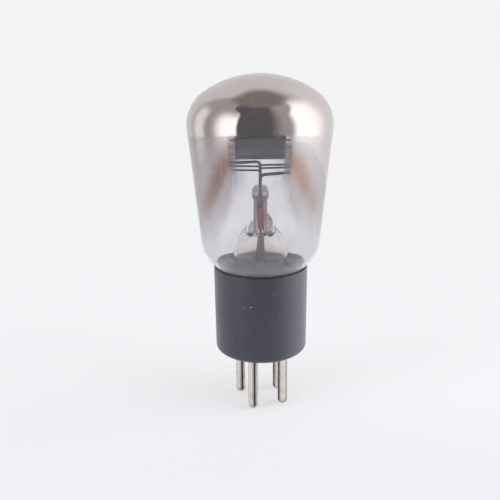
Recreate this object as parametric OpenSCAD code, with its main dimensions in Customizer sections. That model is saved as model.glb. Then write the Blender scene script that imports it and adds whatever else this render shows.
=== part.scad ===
// Glass triode valve with a horizontal electrode system, a pinched glass stem,
// a mirrored dome and a moulded four-pin base. Millimetres, +Z up.
// The origin is on the axis of the bulb, level with the tips of the pins.

/* [Pins] */
// Radius of a contact pin
pin_r = 1.6; // [1.5:0.05:1.7]
// Straight length of a pin below the base
pin_reach = 17.1; // [14:0.1:19]
// Step between the pin and its round nose
nose_step = 0.1; // [0.05:0.05:0.2]
// Wall of the hollow pin
pin_wall = 0.7; // [0.5:0.05:0.8]
// Width of the seam along the rolled pin
seam_w = 0.45; // [0.3:0.05:0.6]
// How far the seam runs on into the nose and into the base
seam_over = 0.3; // [0.2:0.1:0.4]
// Shoulder of the pin under the base
pin_shoulder = 0.4; // [0.3:0.05:0.45]
// Play of the pin's shank in the base
pin_fit = 0.02; // [0.01:0.01:0.03]
// Radius of the riveted head inside the base
rivet_r = 2.1; // [1.9:0.1:2.4]
// Height of the riveted head
rivet_h = 0.6; // [0.4:0.1:1]
// Distance between the two filament pins
filament_pitch = 16; // [15.5:0.1:16.5]
// Distance from the filament pins' line to the grid pin
grid_pin_offset = 6.48; // [6:0.04:7]
// Distance from the filament pins' line to the anode pin
anode_pin_offset = 9.88; // [9.4:0.04:10.4]
// Turn of the pin pattern about the axis
pattern_turn = 59; // [0:1:90]
// Direction that the seams of the two left pins face
left_seam_turn = -71; // [-180:1:180]
// Direction that the seams of the two right pins face
right_seam_turn = -141; // [-180:1:180]
// How far the solder stands out of a pin's nose
solder_drop = 0.25; // [0.15:0.05:0.4]
// Radius of the solder drop at the nose
solder_r = 0.75; // [0.6:0.05:0.85]

/* [Base] */
// Outer radius of the base at its rim
base_r = 15.05; // [14.8:0.05:16]
// How much smaller the radius is at the bottom
base_draft = 0.2; // [0:0.05:0.4]
// Height of the base
base_h = 28.65; // [27.15:0.5:33.15]
// Wall of the base
base_wall = 1.4; // [1.2:0.05:1.4]
// Floor of the base
base_floor = 3; // [2:0.2:4]
// Rounding of the base's bottom edge
base_round = 2; // [1:0.25:2.5]
// Rounding of the rim
rim_round = 0.2; // [0.1:0.05:0.25]
// Depth of the cone in the base's mouth, which the glass sits in
seat_depth = 1.15; // [0.95:0.05:1.2]

/* [Bulb] */
// Height of the bulb above the rim of the base
bulb_rise = 60.2; // [58.95:0.25:64.95]
// Greatest radius of the bulb
bulb_r = 22.5; // [21.5:0.25:24]
// Radius of the crown's curve
crown_r = 30.5; // [28:0.5:36]
// Radius of the curve between crown and flank
shoulder_r = 12.25; // [10:0.25:14]
// Half angle of the flank's cone, in degrees
flank_taper = 5.8; // [4:0.2:7]
// Radius of the curve between flank and funnel
corner_r = 10; // [9:0.25:11]
// Gap between the glass and the edge of the base's bore
rim_gap = 0.1; // [0.05:0.05:0.2]
// Half angle of the funnel, in degrees
funnel_taper = 38; // [37:0.5:40]
// Gap round the neck inside the base, filled with cement
neck_gap = 1.35; // [1.2:0.05:1.7]
// Rounding between funnel and neck
neck_round = 1.5; // [1:0.25:2]
// How far the neck reaches down into the base
neck_depth = 12.65; // [11.15:0.25:14.15]
// Wall of the bulb
bulb_wall = 0.8; // [0.6:0.1:1]
// Height of the bead of cement on the rim
collar_h = 0.6; // [0.4:0.1:0.7]
// How far the bead stays back from the rim's edge
collar_inset = 0.1; // [0.05:0.05:0.15]
// Depth of the cement below the rim
cement_depth = 9.65; // [7.15:0.5:10.15]

/* [Mirror] */
// Thickness of the metal film in the dome
mirror_film = 0.25; // [0.2:0.05:0.3]
// Height of the mirror's edge above the anode's axis
mirror_rise = 3.3; // [2:0.1:6]
// Slope of the mirror's edge from front to back, in degrees
mirror_slope = 7.4; // [0:0.2:10]

/* [Stem] */
// Radius of the stem's tube
stem_r = 7.5; // [7.2:0.1:8]
// Wall of the stem
stem_wall = 0.9; // [0.7:0.1:1]
// Radius where the tube bulges under the press
bulge_r = 8.7; // [8.5:0.1:9]
// Radius of the curve that rounds the bulge from below
belly_r = 6; // [5:0.5:8]
// Height of the bulge above the rim
bulge_rise = 3; // [2.6:0.2:3.4]
// Radius of the curve from the bulge in to the press
pinch_r = 11.5; // [11:0.1:12]
// Height of the press's top above the rim
press_rise = 24.7; // [23.95:0.25:25.95]
// Width of the press
press_w = 19; // [18.6:0.2:20]
// Thickness of the press
press_t = 4.5; // [4.2:0.1:4.8]
// Height of the swollen lip along the press's top
lip_h = 1.8; // [1.4:0.1:2.4]
// How far the lip stands out all round
lip_swell = 0.5; // [0.3:0.1:0.7]
// Radius of the two lobes at the press's foot
lobe_r = 1.9; // [1.8:0.1:2.2]
// Distance of a lobe from the middle plane
lobe_offset = 2.3; // [2.2:0.1:2.6]
// Height of the lobes' undersides below the press's top
lobe_drop = 13; // [12.6:0.1:13.4]
// Radius of the exhaust tube
exhaust_r = 1.4; // [1.3:0.05:1.6]
// Wall of the exhaust tube
exhaust_wall = 0.4; // [0.35:0.05:0.5]
// Clearance of the exhaust tube's tip above the base's floor
exhaust_clear = 4; // [2:0.5:6]
// Height of the exhaust port below the press's top
port_drop = 9.8; // [9.4:0.1:10.2]
// Radius of the port in the side of the press
port_r = 0.6; // [0.5:0.1:0.8]
// Radius of the rough bead round the port
port_bead_r = 0.5; // [0.4:0.05:0.6]

/* [Wires] */
// Distance between neighbouring wires in the press
wire_pitch = 3.2; // [3:0.05:3.3]
// Radius of the two wires that carry the anode
anode_wire_r = 0.5; // [0.4:0.05:0.55]
// Radius of the wires that carry the grid and the filament
thin_wire_r = 0.32; // [0.25:0.01:0.4]
// Radius of the copper-clad seals and leads
lead_r = 0.4; // [0.25:0.05:0.4]
// How deep a support reaches into the press
support_depth = 4; // [3.4:0.2:4.4]
// Height of the supports' bend above the press
bend_rise = 7; // [6.5:0.25:7.5]
// How much lower the front support bends than the others
front_drop = 0.9; // [0.6:0.1:1.2]
// Radius of a support's bend
bend_r = 1.6; // [1:0.1:2]

/* [Electrodes] */
// Height of the electrodes' axis above the press
axis_rise = 13.3; // [13:0.1:14.5]
// Radius of the anode
anode_r = 3.8; // [3.6:0.1:4.2]
// Length of the anode
anode_len = 16; // [15:0.5:17]
// Sheet of the anode
anode_sheet = 0.2; // [0.15:0.05:0.3]
// Width of the anode's lapped seam
lap_w = 2.2; // [1.5:0.1:3]
// Radius of the grid's winding
grid_r = 2.1; // [1.9:0.1:2.3]
// Radius of the grid's wire
grid_wire_r = 0.1; // [0.08:0.01:0.14]
// Pitch of the grid's winding
grid_pitch = 1; // [0.8:0.05:1.3]
// Radius of the grid's two rods
grid_rod_r = 0.3; // [0.2:0.05:0.35]
// Radius of the filament
filament_r = 0.12; // [0.1:0.01:0.15]
// Distance of the outer posts beyond the anode's end
post_gap = 3.4; // [3:0.2:4]
// Radius of the getter's cup
getter_r = 1.7; // [1.4:0.1:2]
// Height of the getter's cup
getter_h = 0.8; // [0.6:0.1:1.2]

/* [Hidden] */
$fn = 48;
// How far a cutting shape runs on past what it cuts
over = 1;

// Heights above the tips of the pins
nose_r = pin_r - nose_step;
nose_len = sqrt(nose_r * nose_r - solder_r * solder_r);
nose_z = solder_drop + nose_len;
base_z = nose_z + pin_reach;
floor_z = base_z + base_floor;
rim_z = base_z + base_h;
seat_z = rim_z - seat_depth;
neck_z = rim_z - neck_depth;
top_z = rim_z + bulb_rise;
press_z = rim_z + press_rise;
bulge_z = rim_z + bulge_rise;
lobe_z = press_z - lobe_drop;
lead_tip_z = nose_z - nose_len / 2;
port_z = press_z - port_drop;
bend_z = press_z + bend_rise;
axis_z = press_z + axis_rise;

// Radii that follow from their neighbours
bore_r = base_r - base_wall;
seat_r = bore_r + seat_depth * tan(funnel_taper);
neck_r = bore_r - neck_gap;
pin_bore_r = pin_r - pin_wall;
tip_wall = pin_wall / 1.4;
shank_r = pin_r - pin_shoulder;

// Where the pins stand: the anode and grid pins are level with each other
// on either side of the axis, and the filament pins lie across
pattern_centre = (anode_pin_offset - grid_pin_offset) / 2;
function turned(p, a) = [p[0] * cos(a) - p[1] * sin(a), p[0] * sin(a) + p[1] * cos(a)];
pin_anode_at = turned([0, anode_pin_offset - pattern_centre], pattern_turn);
pin_grid_at = turned([0, -grid_pin_offset - pattern_centre], pattern_turn);
pin_filament_a_at = turned([-filament_pitch / 2, -pattern_centre], pattern_turn);
pin_filament_b_at = turned([filament_pitch / 2, -pattern_centre], pattern_turn);

// Centres of the arcs in the bulb's outline, as radius and height
crown_c = [0, top_z - crown_r];
shoulder_x = bulb_r - shoulder_r;
shoulder_c = [shoulder_x, crown_c[1] + sqrt(pow(crown_r - shoulder_r, 2) - pow(shoulder_x, 2))];
crown_edge = atan2(shoulder_c[1] - crown_c[1], shoulder_c[0]);
flank_n = [cos(flank_taper), -sin(flank_taper)];
funnel_n = [cos(funnel_taper), -sin(funnel_taper)];
// The corner sits where the funnel below it just clears the base's bore
flank_core = shoulder_c + (shoulder_r - corner_r) * flank_n;
flank_slope = tan(flank_taper);
core_x = flank_core[0] - flank_core[1] * flank_slope;
corner_z = (corner_r - (bore_r - rim_gap - core_x) * funnel_n[0] - seat_z * funnel_n[1])
    / (-flank_slope * funnel_n[0] - funnel_n[1]);
corner_c = [core_x + corner_z * flank_slope, corner_z];
funnel_p = corner_c + corner_r * funnel_n;
throat_x = neck_r + neck_round;
throat_c = [
    throat_x,
    funnel_p[1] + ((throat_x - funnel_p[0]) * funnel_n[0] - neck_round) / -funnel_n[1]
];

// What lies on the right of the axis, of a shape placed at a centre
module right_half(c) {
    intersection() {
        translate(c) children();
        square([2 * bulb_r, 2 * top_z]);
    }
}

// A slice of a disc between two angles
module slice(c, r, a0, a1) {
    translate(c)
        intersection() {
            circle(r = r);
            polygon([
                [0, 0],
                2 * r * [cos(a0), sin(a0)],
                2 * r * [cos((a0 + a1) / 2), sin((a0 + a1) / 2)],
                2 * r * [cos(a1), sin(a1)]
            ]);
        }
}

// Half section of the bulb, taken in by inset from its outer surface
module bulb_section(inset) {
    difference() {
        union() {
            polygon([
                [0, neck_z - inset],
                [neck_r - inset, neck_z - inset],
                [neck_r - inset, throat_c[1]],
                throat_c,
                throat_c - (neck_round + inset) * funnel_n,
                corner_c + (corner_r - inset) * funnel_n,
                corner_c,
                corner_c + (corner_r - inset) * flank_n,
                shoulder_c + (shoulder_r - inset) * flank_n,
                shoulder_c,
                crown_c
            ]);
            right_half(corner_c) circle(r = corner_r - inset);
            right_half(shoulder_c) circle(r = shoulder_r - inset);
            slice(crown_c, crown_r - inset, crown_edge, 90);
        }
        translate(throat_c) circle(r = neck_round + inset);
    }
}

module bulb() {
    color("lightcyan", 0.35)
        rotate_extrude()
            difference() {
                bulb_section(0);
                bulb_section(bulb_wall);
            }
}

module getter_mirror() {
    color("silver")
        intersection() {
            rotate_extrude()
                difference() {
                    bulb_section(bulb_wall);
                    bulb_section(bulb_wall + mirror_film);
                }
            translate([0, 0, axis_z + mirror_rise])
                rotate([-mirror_slope, 0, 0])
                    translate([-2 * bulb_r, -2 * bulb_r, 0])
                        cube([4 * bulb_r, 4 * bulb_r, 2 * bulb_r]);
        }
}

// The cement fills the gap under the bulb and stands up as a bead on the rim
module cement_ring() {
    collar_r = base_r - collar_inset;
    collar_round = collar_h / 3;
    round_c = [collar_r - collar_round, rim_z + collar_h - collar_round];
    color("saddlebrown")
        rotate_extrude()
            difference() {
                union() {
                    polygon([
                        [0, rim_z - cement_depth],
                        [bore_r, rim_z - cement_depth],
                        [bore_r, seat_z],
                        [seat_r, rim_z],
                        [collar_r, rim_z],
                        [collar_r, round_c[1]],
                        round_c,
                        [round_c[0], rim_z + collar_h],
                        [0, rim_z + collar_h]
                    ]);
                    translate(round_c) circle(r = collar_round);
                }
                bulb_section(0);
            }
}

// Half section of the moulded base
module base_section() {
    foot_r = base_r - base_draft;
    polygon([
        [0, base_z],
        [foot_r - base_round, base_z],
        [foot_r - base_round, base_z + base_round],
        [foot_r, base_z + base_round],
        [base_r, rim_z - rim_round],
        [base_r - rim_round, rim_z - rim_round],
        [base_r - rim_round, rim_z],
        [seat_r, rim_z],
        [bore_r, seat_z],
        [bore_r, floor_z],
        [0, floor_z]
    ]);
    translate([foot_r - base_round, base_z + base_round]) circle(r = base_round);
    translate([base_r - rim_round, rim_z - rim_round]) circle(r = rim_round);
}

module base_shell() {
    color([0.17, 0.17, 0.19])
        difference() {
            rotate_extrude() base_section();
            for (p = [pin_anode_at, pin_grid_at, pin_filament_a_at, pin_filament_b_at])
                translate([p[0], p[1], base_z - over])
                    cylinder(r = shank_r + pin_fit, h = base_floor + 2 * over);
        }
}

// A rolled, plated pin: rounded nose, open seam, shoulder under the base
// and a head riveted over inside it
module pin(at, seam_turn) {
    color([0.80, 0.77, 0.74])
        translate([at[0], at[1], 0])
            difference() {
                rotate_extrude() {
                    polygon([
                        [0, nose_z],
                        [pin_r, nose_z],
                        [pin_r, base_z],
                        [shank_r, base_z],
                        [shank_r, floor_z],
                        [rivet_r, floor_z],
                        [rivet_r, floor_z + rivet_h / 2],
                        [shank_r, floor_z + rivet_h],
                        [0, floor_z + rivet_h]
                    ]);
                    // The nose is part of a ball
                    intersection() {
                        translate([0, nose_z]) circle(r = nose_r);
                        translate([0, solder_drop]) square([nose_r, nose_len]);
                    }
                }
                translate([0, 0, nose_z + tip_wall])
                    cylinder(r = pin_bore_r, h = floor_z);
                cylinder(r = solder_r, h = nose_z + over);
                rotate([0, 0, seam_turn])
                    translate([0, -seam_w / 2, nose_z - seam_over])
                        cube([pin_r + over, seam_w, pin_reach + 2 * seam_over]);
            }
}

// The drop of solder that closes a pin's nose round its lead
module solder(at) {
    drop_r = (solder_r * solder_r + solder_drop * solder_drop) / (2 * solder_drop);
    color([0.62, 0.62, 0.64])
        translate([at[0], at[1], 0])
            difference() {
                union() {
                    translate([0, 0, solder_drop])
                        cylinder(r = solder_r, h = nose_len);
                    intersection() {
                        translate([0, 0, drop_r]) sphere(r = drop_r);
                        cylinder(r = solder_r, h = solder_drop);
                    }
                }
                translate([0, 0, lead_tip_z])
                    cylinder(r = lead_r, h = nose_len + over);
            }
}

// Place of each wire in the row through the press, from front to back
function row_y(i) = (i - 2.5) * wire_pitch;
front_y = row_y(0);
second_y = row_y(1);
third_y = row_y(2);
fourth_y = row_y(3);
fifth_y = row_y(4);
back_y = row_y(5);

seal_top_z = press_z - support_depth;
seal_foot_z = lobe_z + lobe_r / 3;
// The grid's seal leans clear of the exhaust tube
grid_seal_top = [0, third_y, seal_top_z - lead_r / 4];
grid_seal_foot = [exhaust_r - exhaust_wall, third_y - 3 * lead_r, seal_foot_z];

// A straight rod from one point to another
module rod(a, b, r) {
    d = b - a;
    translate(a)
        rotate([0, acos(d[2] / norm(d)), atan2(d[1], d[0])])
            cylinder(r = r, h = norm(d));
}

// How far the pinching planes start outside the bulge
pinch_over = 0.1;
// The stem seen from the front: the tube's sides curve in to the press
module pinch_outline(inset) {
    intersection() {
        translate([bulge_r + pinch_over - pinch_r, bulge_z]) circle(r = pinch_r - inset);
        translate([0, bulge_z - pinch_r / 2]) square([pinch_r, press_z - bulge_z]);
    }
    translate([0, bulge_z - pinch_r]) square([bulge_r - inset, pinch_r]);
}

// Plan of the press, a bar with round ends, grown all round
module press_plan(grow) {
    t = press_t + 2 * grow;
    w = press_w + 2 * grow;
    square([t, w - t], center = true);
    for (side = [-1, 1])
        translate([0, side * (w - t) / 2]) circle(d = t);
}

// The lip's rounded edge seen from the front
module lip_outline() {
    half = press_t / 2 + lip_swell;
    edge = lip_h / 2;
    translate([0, press_z - lip_h]) square([half - edge, lip_h]);
    translate([half - edge, press_z - edge]) circle(r = edge);
}

module both_sides() {
    children();
    mirror([1, 0]) children();
}

// Draws an outline of radius and height as a bar lying along Y
module along_y() {
    rotate([90, 0, 0])
        linear_extrude(height = 4 * bulge_r, center = true) both_sides() children();
}

// The tube below the press, turned about the axis
module tube_section(inset) {
    right_half([bulge_r - belly_r, bulge_z]) circle(r = belly_r - inset);
    polygon([
        [0, neck_z + flare_r],
        [stem_r - inset, neck_z + flare_r],
        [stem_r - inset, bulge_z - 2],
        [bulge_r - inset, bulge_z],
        [press_w / 2 - inset, bulge_z + pinch_r],
        [press_w / 2 - inset, press_z - 2 * lip_h],
        [0, press_z - 2 * lip_h]
    ]);
}

flare_lip = neck_r - bulb_wall;
flare_r = flare_lip - stem_r;
module flare_section() {
    centre = [flare_lip, neck_z + flare_r];
    difference() {
        slice(centre, flare_r + stem_wall, 180, 270);
        translate(centre) circle(r = flare_r);
    }
    translate([flare_lip, neck_z - stem_wall]) square([bulb_wall, stem_wall]);
}

module stem() {
    color("lightcyan", 0.5)
        difference() {
            union() {
                rotate_extrude() flare_section();
                intersection() {
                    rotate_extrude() tube_section(0);
                    along_y() {
                        pinch_outline(0);
                        translate([0, neck_z]) square([bulge_r + over, bulge_z - neck_z - over]);
                    }
                }
                translate([0, 0, lobe_z + lobe_r])
                    linear_extrude(height = press_z - lip_h / 2 - lobe_z - lobe_r) press_plan(0);
                intersection() {
                    along_y() lip_outline();
                    translate([0, 0, press_z - lip_h - over])
                        linear_extrude(height = lip_h + 2 * over) press_plan(lip_swell);
                }
                // The rough bead round the exhaust port
                translate([press_t / 2 + port_r / 3, 0, port_z])
                    rotate([0, 90, 0])
                        rotate_extrude()
                            translate([port_r + port_bead_r, 0]) circle(r = port_bead_r);
            }
            // The hollow of the tube, with the pinched glass hanging into it
            intersection() {
                rotate_extrude() tube_section(stem_wall);
                difference() {
                    along_y() {
                        pinch_outline(stem_wall);
                        translate([0, neck_z]) square([bulge_r, bulge_z - neck_z - over]);
                    }
                    along_y() {
                        translate([lobe_offset, lobe_z + lobe_r]) circle(r = lobe_r);
                        translate([0, lobe_z + lobe_r])
                            square([lobe_offset + lobe_r, press_z - lobe_z]);
                        translate([0, lobe_z + lobe_r / 2]) square([lobe_offset, lobe_r]);
                    }
                    translate([0, 0, lobe_z]) cylinder(r = exhaust_r, h = 2 * lobe_r);
                }
            }
            // The bore from the exhaust tube to the port
            translate([0, 0, lobe_z - over])
                cylinder(r = port_r, h = port_z - lobe_z + over + port_r / 3);
            rod([0, 0, port_z - port_r * 2 / 3], [press_t, 0, port_z + port_r / 2], port_r);
            // Seats of the supports
            for (w = [
                [front_y, anode_wire_r], [second_y, thin_wire_r], [third_y, thin_wire_r],
                [fourth_y, thin_wire_r], [fifth_y, thin_wire_r], [back_y, anode_wire_r]
            ])
                translate([0, w[0], seal_top_z]) cylinder(r = w[1], h = support_depth + over);
            // Seats of the seals
            for (y = [front_y, second_y, fifth_y])
                translate([0, y, lobe_z - over])
                    cylinder(r = lead_r, h = seal_top_z - lobe_z + over);
            rod(
                grid_seal_foot - (grid_seal_top - grid_seal_foot) / 3,
                grid_seal_top,
                lead_r
            );
        }
}

module exhaust_tube() {
    tip_z = floor_z + exhaust_clear;
    tip_len = 4 * exhaust_r;
    inner_r = exhaust_r - exhaust_wall;
    color("lightcyan", 0.5)
        rotate_extrude()
            polygon([
                [0, tip_z],
                [exhaust_r / 3, tip_z + exhaust_wall],
                [exhaust_r * 0.6, tip_z + tip_len / 2],
                [exhaust_r, tip_z + tip_len],
                [exhaust_r, lobe_z],
                [inner_r, lobe_z],
                [inner_r, tip_z + tip_len + exhaust_wall],
                [exhaust_wall, tip_z + tip_len / 2],
                [0, tip_z + tip_len / 2]
            ]);
}

// A wire swept along points: rings of a polygon about each point, joined up
function unit(v) = v / norm(v);
function heading(p, i) = unit(
    (i < len(p) - 1 ? unit(p[i + 1] - p[i]) : [0, 0, 0]) +
    (i > 0 ? unit(p[i] - p[i - 1]) : [0, 0, 0])
);
function ring(c, t, side, r, n) =
    let (u = unit(cross(side, t)), v = cross(t, u))
    [for (k = [0:n - 1]) c + r * (cos(360 * k / n) * u + sin(360 * k / n) * v)];
function skin(m, n) = [
    for (i = [0:m - 2], k = [0:n - 1])
        let (a = i * n + k, b = i * n + (k + 1) % n)
        each [[a, a + n, b + n], [a, b + n, b]]
];

module wire(path, r, side = [0, 1, 0], n = 8) {
    m = len(path);
    polyhedron(
        points = [for (i = [0:m - 1]) each ring(path[i], heading(path, i), side, r, n)],
        faces = concat(
            skin(m, n),
            [[for (k = [0:n - 1]) k]],
            [[for (k = [n - 1:-1:0]) (m - 1) * n + k]]
        )
    );
}

// Rounds the corners of a path with short curves, and leaves nearly straight ones
nearly_straight = 88;
function bend(a, p, b, r, n) =
    let (
        u = unit(a - p),
        v = unit(b - p),
        half = acos(max(-1, min(1, u * v))) / 2,
        reach = min(r / tan(half), norm(a - p) / 2.1, norm(b - p) / 2.1)
    )
    half > nearly_straight
        ? [p]
        : [for (i = [0:n]) let (s = i / n)
            (1 - s) * (1 - s) * (p + reach * u) + 2 * s * (1 - s) * p + s * s * (p + reach * v)];
function rounded(p, r, n = 5) = [
    p[0],
    for (i = [1:len(p) - 2]) each bend(p[i - 1], p[i], p[i + 1], r, n),
    p[len(p) - 1]
];

// Routes of the copper leads, from the seal down to the tip of the pin
stem_bore = stem_r - stem_wall;
wall_y = stem_bore - 5 * lead_r;
beside_x = exhaust_r + 2.2 * lead_r;
beside_y = exhaust_r + lead_r / 4;
dip_z = lobe_z - lead_r;
tube_top_z = bulge_z - 2 * exhaust_r;
flare_z = neck_z + 3 * exhaust_r;
pin_top_z = floor_z + rivet_h + 2.5 * lead_r;
turn_z = pin_top_z + 6 * lead_r;
function drop_to_pin(at) = [[at[0], at[1], pin_top_z], [at[0], at[1], lead_tip_z]];
anode_route = concat(
    [
        [0, front_y, seal_foot_z],
        [0, front_y, dip_z],
        [0, -wall_y, tube_top_z],
        [0, -wall_y, flare_z + exhaust_r],
        [-exhaust_r - 6 * lead_r, -wall_y, flare_z - 12 * lead_r],
        [pin_anode_at[0] - 3 * lead_r, pin_anode_at[1] - 11 * lead_r, turn_z + 8 * lead_r],
        [pin_anode_at[0], pin_anode_at[1], turn_z]
    ],
    drop_to_pin(pin_anode_at)
);
filament_a_route = concat(
    [
        [0, second_y, seal_foot_z],
        [0, second_y, dip_z],
        [-beside_x, -beside_y, tube_top_z],
        [-beside_x, -beside_y, flare_z - 15 * lead_r],
        [pin_filament_a_at[0], pin_filament_a_at[1] + 1.5 * lead_r, turn_z]
    ],
    drop_to_pin(pin_filament_a_at)
);
grid_route = concat(
    [
        grid_seal_foot,
        grid_seal_foot + (grid_seal_foot - grid_seal_top) / 10,
        [exhaust_r - 1.5 * lead_r, -exhaust_r - 2.2 * lead_r, tube_top_z],
        [exhaust_r - 1.5 * lead_r, -exhaust_r - 2.2 * lead_r, flare_z],
        [pin_grid_at[0] - 2.5 * lead_r, pin_grid_at[1] + lead_r, turn_z + 6 * lead_r]
    ],
    drop_to_pin(pin_grid_at)
);
filament_b_route = concat(
    [
        [0, fifth_y, seal_foot_z],
        [0, fifth_y, dip_z],
        [2 * lead_r, wall_y, tube_top_z],
        [3 * lead_r, wall_y, flare_z - 5 * lead_r],
        [pin_filament_b_at[0] - 1.5 * lead_r, pin_filament_b_at[1] - lead_r, turn_z + 4 * lead_r]
    ],
    drop_to_pin(pin_filament_b_at)
);

module lead(route) {
    color([0.78, 0.46, 0.34]) wire(rounded(route, 7.5 * lead_r), lead_r);
}

module seal(y) {
    color([0.70, 0.25, 0.25])
        translate([0, y, seal_foot_z])
            cylinder(r = lead_r, h = seal_top_z - seal_foot_z);
}

module grid_seal() {
    color([0.70, 0.25, 0.25]) rod(grid_seal_foot, grid_seal_top, lead_r);
}

// Supports rise from the press, turn outwards below the anode and rise
// again beyond its ends
post_x = anode_len / 2 + post_gap;
grid_post_x = post_x - 3 * grid_rod_r;
riser_x = post_x + 2 * grid_rod_r;
anode_weld_x = anode_len / 2 * 0.7;
touch = 0.02;
anode_weld_z = axis_z + anode_r + anode_wire_r + touch;

// The anode is carried from above: its supports come back over its ends
module anode_support(y, s) {
    pull_in = 0.42;
    level = bend_z + (y < 0 ? -front_drop : front_drop / 2);
    color([0.45, 0.44, 0.47])
        wire(
            rounded([
                [0, y, seal_top_z],
                [0, y, level],
                [s * riser_x, y * pull_in, level + (y < 0 ? 0 : front_drop / 3)],
                [s * riser_x, y * pull_in, anode_weld_z],
                [s * anode_weld_x, 0, anode_weld_z]
            ], bend_r),
            anode_wire_r
        );
}

// How much the thin supports leave the level, and where the filament ends
wander = 0.2;
filament_end = anode_len / 2 + 0.4;

module grid_support(y, s, rod_z) {
    color([0.45, 0.44, 0.47])
        wire(
            rounded([
                [0, y, seal_top_z],
                [0, y, bend_z],
                [s * grid_post_x, y, bend_z + wander],
                [s * grid_post_x, grid_rod_r + thin_wire_r, rod_z - 4 * grid_rod_r],
                [s * grid_post_x, grid_rod_r + thin_wire_r, rod_z + grid_rod_r]
            ], bend_r / 2),
            thin_wire_r
        );
}

module filament_support(y, s) {
    color([0.45, 0.44, 0.47])
        wire(
            rounded([
                [0, y, seal_top_z],
                [0, y, bend_z - wander / 2],
                [s * post_x, y * 0.95, bend_z],
                [s * post_x, 0, axis_z - 8 * thin_wire_r],
                [s * post_x, 0, axis_z],
                [s * filament_end, 0, axis_z]
            ], bend_r / 2),
            thin_wire_r
        );
}

// A rolled sheet, lapped along the top and welded
module anode() {
    lap_a = 180 * lap_w / (PI * anode_r);
    lap_turn = 150;
    color([0.38, 0.36, 0.40])
        translate([-anode_len / 2, 0, axis_z])
            rotate([0, 90, 0]) {
                difference() {
                    cylinder(r = anode_r, h = anode_len);
                    translate([0, 0, -over])
                        cylinder(r = anode_r - anode_sheet, h = anode_len + 2 * over);
                }
                linear_extrude(height = anode_len)
                    difference() {
                        slice([0, 0], anode_r + anode_sheet, lap_turn - lap_a, lap_turn);
                        circle(r = anode_r);
                    }
            }
}

// The winding starts on the lower rod and runs between the rods' outer sides
winding_r = grid_r + grid_rod_r + grid_wire_r + touch;
module grid_winding() {
    turns = floor((anode_len - 1) / grid_pitch);
    steps = 12;
    color([0.60, 0.58, 0.55])
        wire(
            [for (i = [0:turns * steps])
                [
                    (i / steps - turns / 2) * grid_pitch,
                    winding_r * sin(i * 360 / steps),
                    axis_z - winding_r * cos(i * 360 / steps)
                ]],
            grid_wire_r,
            [1, 0, 0],
            6
        );
}

module grid_rod(s) {
    rod_end = post_x - 0.4;
    color([0.55, 0.54, 0.56])
        translate([-rod_end, 0, axis_z + s * grid_r])
            rotate([0, 90, 0]) cylinder(r = grid_rod_r, h = 2 * rod_end);
}

module filament() {
    color([0.75, 0.73, 0.68])
        translate([-filament_end, 0, axis_z])
            rotate([0, 90, 0]) cylinder(r = filament_r, h = 2 * filament_end);
}

// The cup that held the getter, on a foot welded to the anode
module getter_cup() {
    cup_wall = 0.2;
    foot_h = 0.9;
    foot_r = 0.5;
    color([0.50, 0.49, 0.50])
        translate([0, 0, axis_z + anode_r])
            difference() {
                union() {
                    translate([0, 0, foot_h]) cylinder(r = getter_r, h = getter_h);
                    cylinder(r = foot_r, h = foot_h);
                }
                translate([0, 0, foot_h + cup_wall])
                    cylinder(r = getter_r - cup_wall, h = getter_h);
            }
}

bulb();
getter_mirror();
cement_ring();
base_shell();
stem();
exhaust_tube();
pin(pin_anode_at, left_seam_turn);  // pin_anode
pin(pin_grid_at, right_seam_turn);  // pin_grid
pin(pin_filament_a_at, left_seam_turn);  // pin_filament_a
pin(pin_filament_b_at, right_seam_turn);  // pin_filament_b
solder(pin_anode_at);  // solder_anode
solder(pin_grid_at);  // solder_grid
solder(pin_filament_a_at);  // solder_filament_a
solder(pin_filament_b_at);  // solder_filament_b
lead(anode_route);  // lead_anode
lead(grid_route);  // lead_grid
lead(filament_a_route);  // lead_filament_a
lead(filament_b_route);  // lead_filament_b
seal(front_y);  // seal_anode
grid_seal();  // seal_grid
seal(second_y);  // seal_filament_a
seal(fifth_y);  // seal_filament_b
anode_support(front_y, 1);  // anode_support_right
anode_support(back_y, -1);  // anode_support_left
grid_support(third_y, 1, axis_z - grid_r);  // grid_support_right
grid_support(fourth_y, -1, axis_z - grid_r);  // grid_support_left
filament_support(second_y, -1);  // filament_support_left
filament_support(fifth_y, 1);  // filament_support_right
anode();
grid_winding();
grid_rod(-1);  // grid_rod_lower
grid_rod(1);  // grid_rod_upper
filament();
getter_cup();
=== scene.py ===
import bpy
import math
from mathutils import Matrix, Vector


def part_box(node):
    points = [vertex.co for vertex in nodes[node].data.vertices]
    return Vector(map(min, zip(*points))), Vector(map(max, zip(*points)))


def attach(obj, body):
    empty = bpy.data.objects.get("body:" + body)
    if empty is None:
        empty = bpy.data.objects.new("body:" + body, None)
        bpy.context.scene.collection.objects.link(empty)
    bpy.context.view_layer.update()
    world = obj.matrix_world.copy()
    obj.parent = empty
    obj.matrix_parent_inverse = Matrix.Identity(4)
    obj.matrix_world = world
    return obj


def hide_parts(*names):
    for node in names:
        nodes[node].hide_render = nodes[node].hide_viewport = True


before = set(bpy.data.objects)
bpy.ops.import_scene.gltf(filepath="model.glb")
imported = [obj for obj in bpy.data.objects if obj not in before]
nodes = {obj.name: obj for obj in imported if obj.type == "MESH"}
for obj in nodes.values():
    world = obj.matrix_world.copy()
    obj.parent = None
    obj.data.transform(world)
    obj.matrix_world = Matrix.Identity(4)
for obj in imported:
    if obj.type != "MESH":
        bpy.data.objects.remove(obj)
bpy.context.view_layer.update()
mm = 0.001
weldDistance = 0.000004
smoothAngle = 50
print("frame loaded:", len(nodes), "nodes")


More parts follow.
